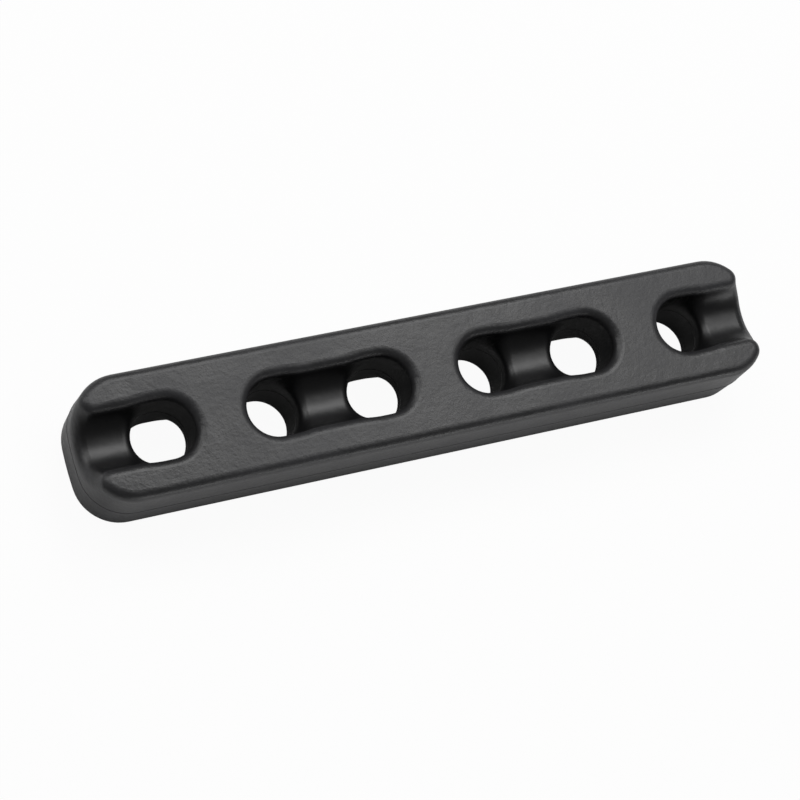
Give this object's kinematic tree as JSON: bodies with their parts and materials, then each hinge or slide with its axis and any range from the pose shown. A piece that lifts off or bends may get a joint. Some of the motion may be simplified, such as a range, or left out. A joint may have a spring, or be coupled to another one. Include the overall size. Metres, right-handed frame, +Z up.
{
  "type": "mooring line snubber",
  "caption": "Moulded rubber bar with line holes joined by channels on alternate faces; a mooring line woven through it stretches gently instead of snatching.",
  "frame": {"origin": "middle of the underside, where the bar lies flat on a surface", "axes": "+X along the bar, +Z up out of the face whose channels run out of both ends"},
  "size_m": [0.3, 0.053, 0.036],
  "materials": {
    "rubber": "matt"
  },
  "bodies": {
    "root": {"snubber_body": "rubber"}
  },
  "joints": []
}
